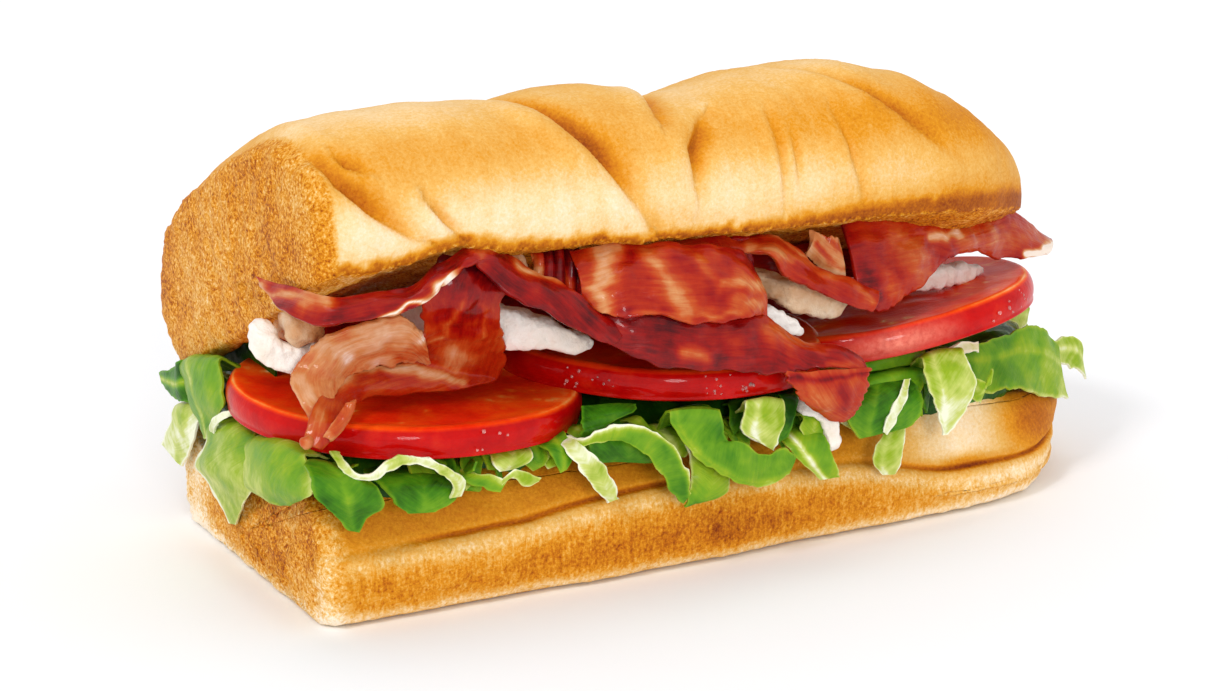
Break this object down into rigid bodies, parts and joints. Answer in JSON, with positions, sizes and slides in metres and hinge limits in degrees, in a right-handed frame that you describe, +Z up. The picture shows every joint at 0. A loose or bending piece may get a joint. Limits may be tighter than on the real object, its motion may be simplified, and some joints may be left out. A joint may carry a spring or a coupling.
{
  "type": "submarine sandwich",
  "caption": "Half of a long filled roll, cut square at one end and rounded at the other, with shredded lettuce, tomato slices, draped bacon and chicken pieces showing along its open front.",
  "frame": {"origin": "on the floor under the middle of the bottom bun", "axes": "+X along the roll from the cut end to the rounded end, -Y towards the open front, +Z up"},
  "size_m": [0.189, 0.0976, 0.0903],
  "materials": {
    "crust": "matt, dusted with flour, golden to orange brown",
    "lettuce": "moist leaf, pale at the ribs",
    "tomato": "wet, glossy red flesh",
    "bacon": "greasy, red lean with cream fat",
    "chicken": "soft, pale cooked meat with browned edges"
  },
  "bodies": {
    "root": {"bun_bottom": "crust", "bun_top": "crust", "lettuce": "lettuce", "tomato_left": "tomato", "tomato_middle": "tomato", "tomato_right": "tomato", "bacon_crest": "bacon", "bacon_drape": "bacon", "bacon_ruffle": "bacon", "bacon_broad": "bacon", "bacon_back": "bacon", "bacon_leaf": "bacon", "bacon_right": "bacon", "bacon_inner": "bacon", "chicken_curl": "chicken", "chicken_left": "chicken", "chicken_wedge": "chicken", "chicken_tucked": "chicken", "chicken_glossy": "chicken", "chicken_middle": "chicken", "chicken_right": "chicken", "chicken_low": "chicken"}
  },
  "joints": []
}
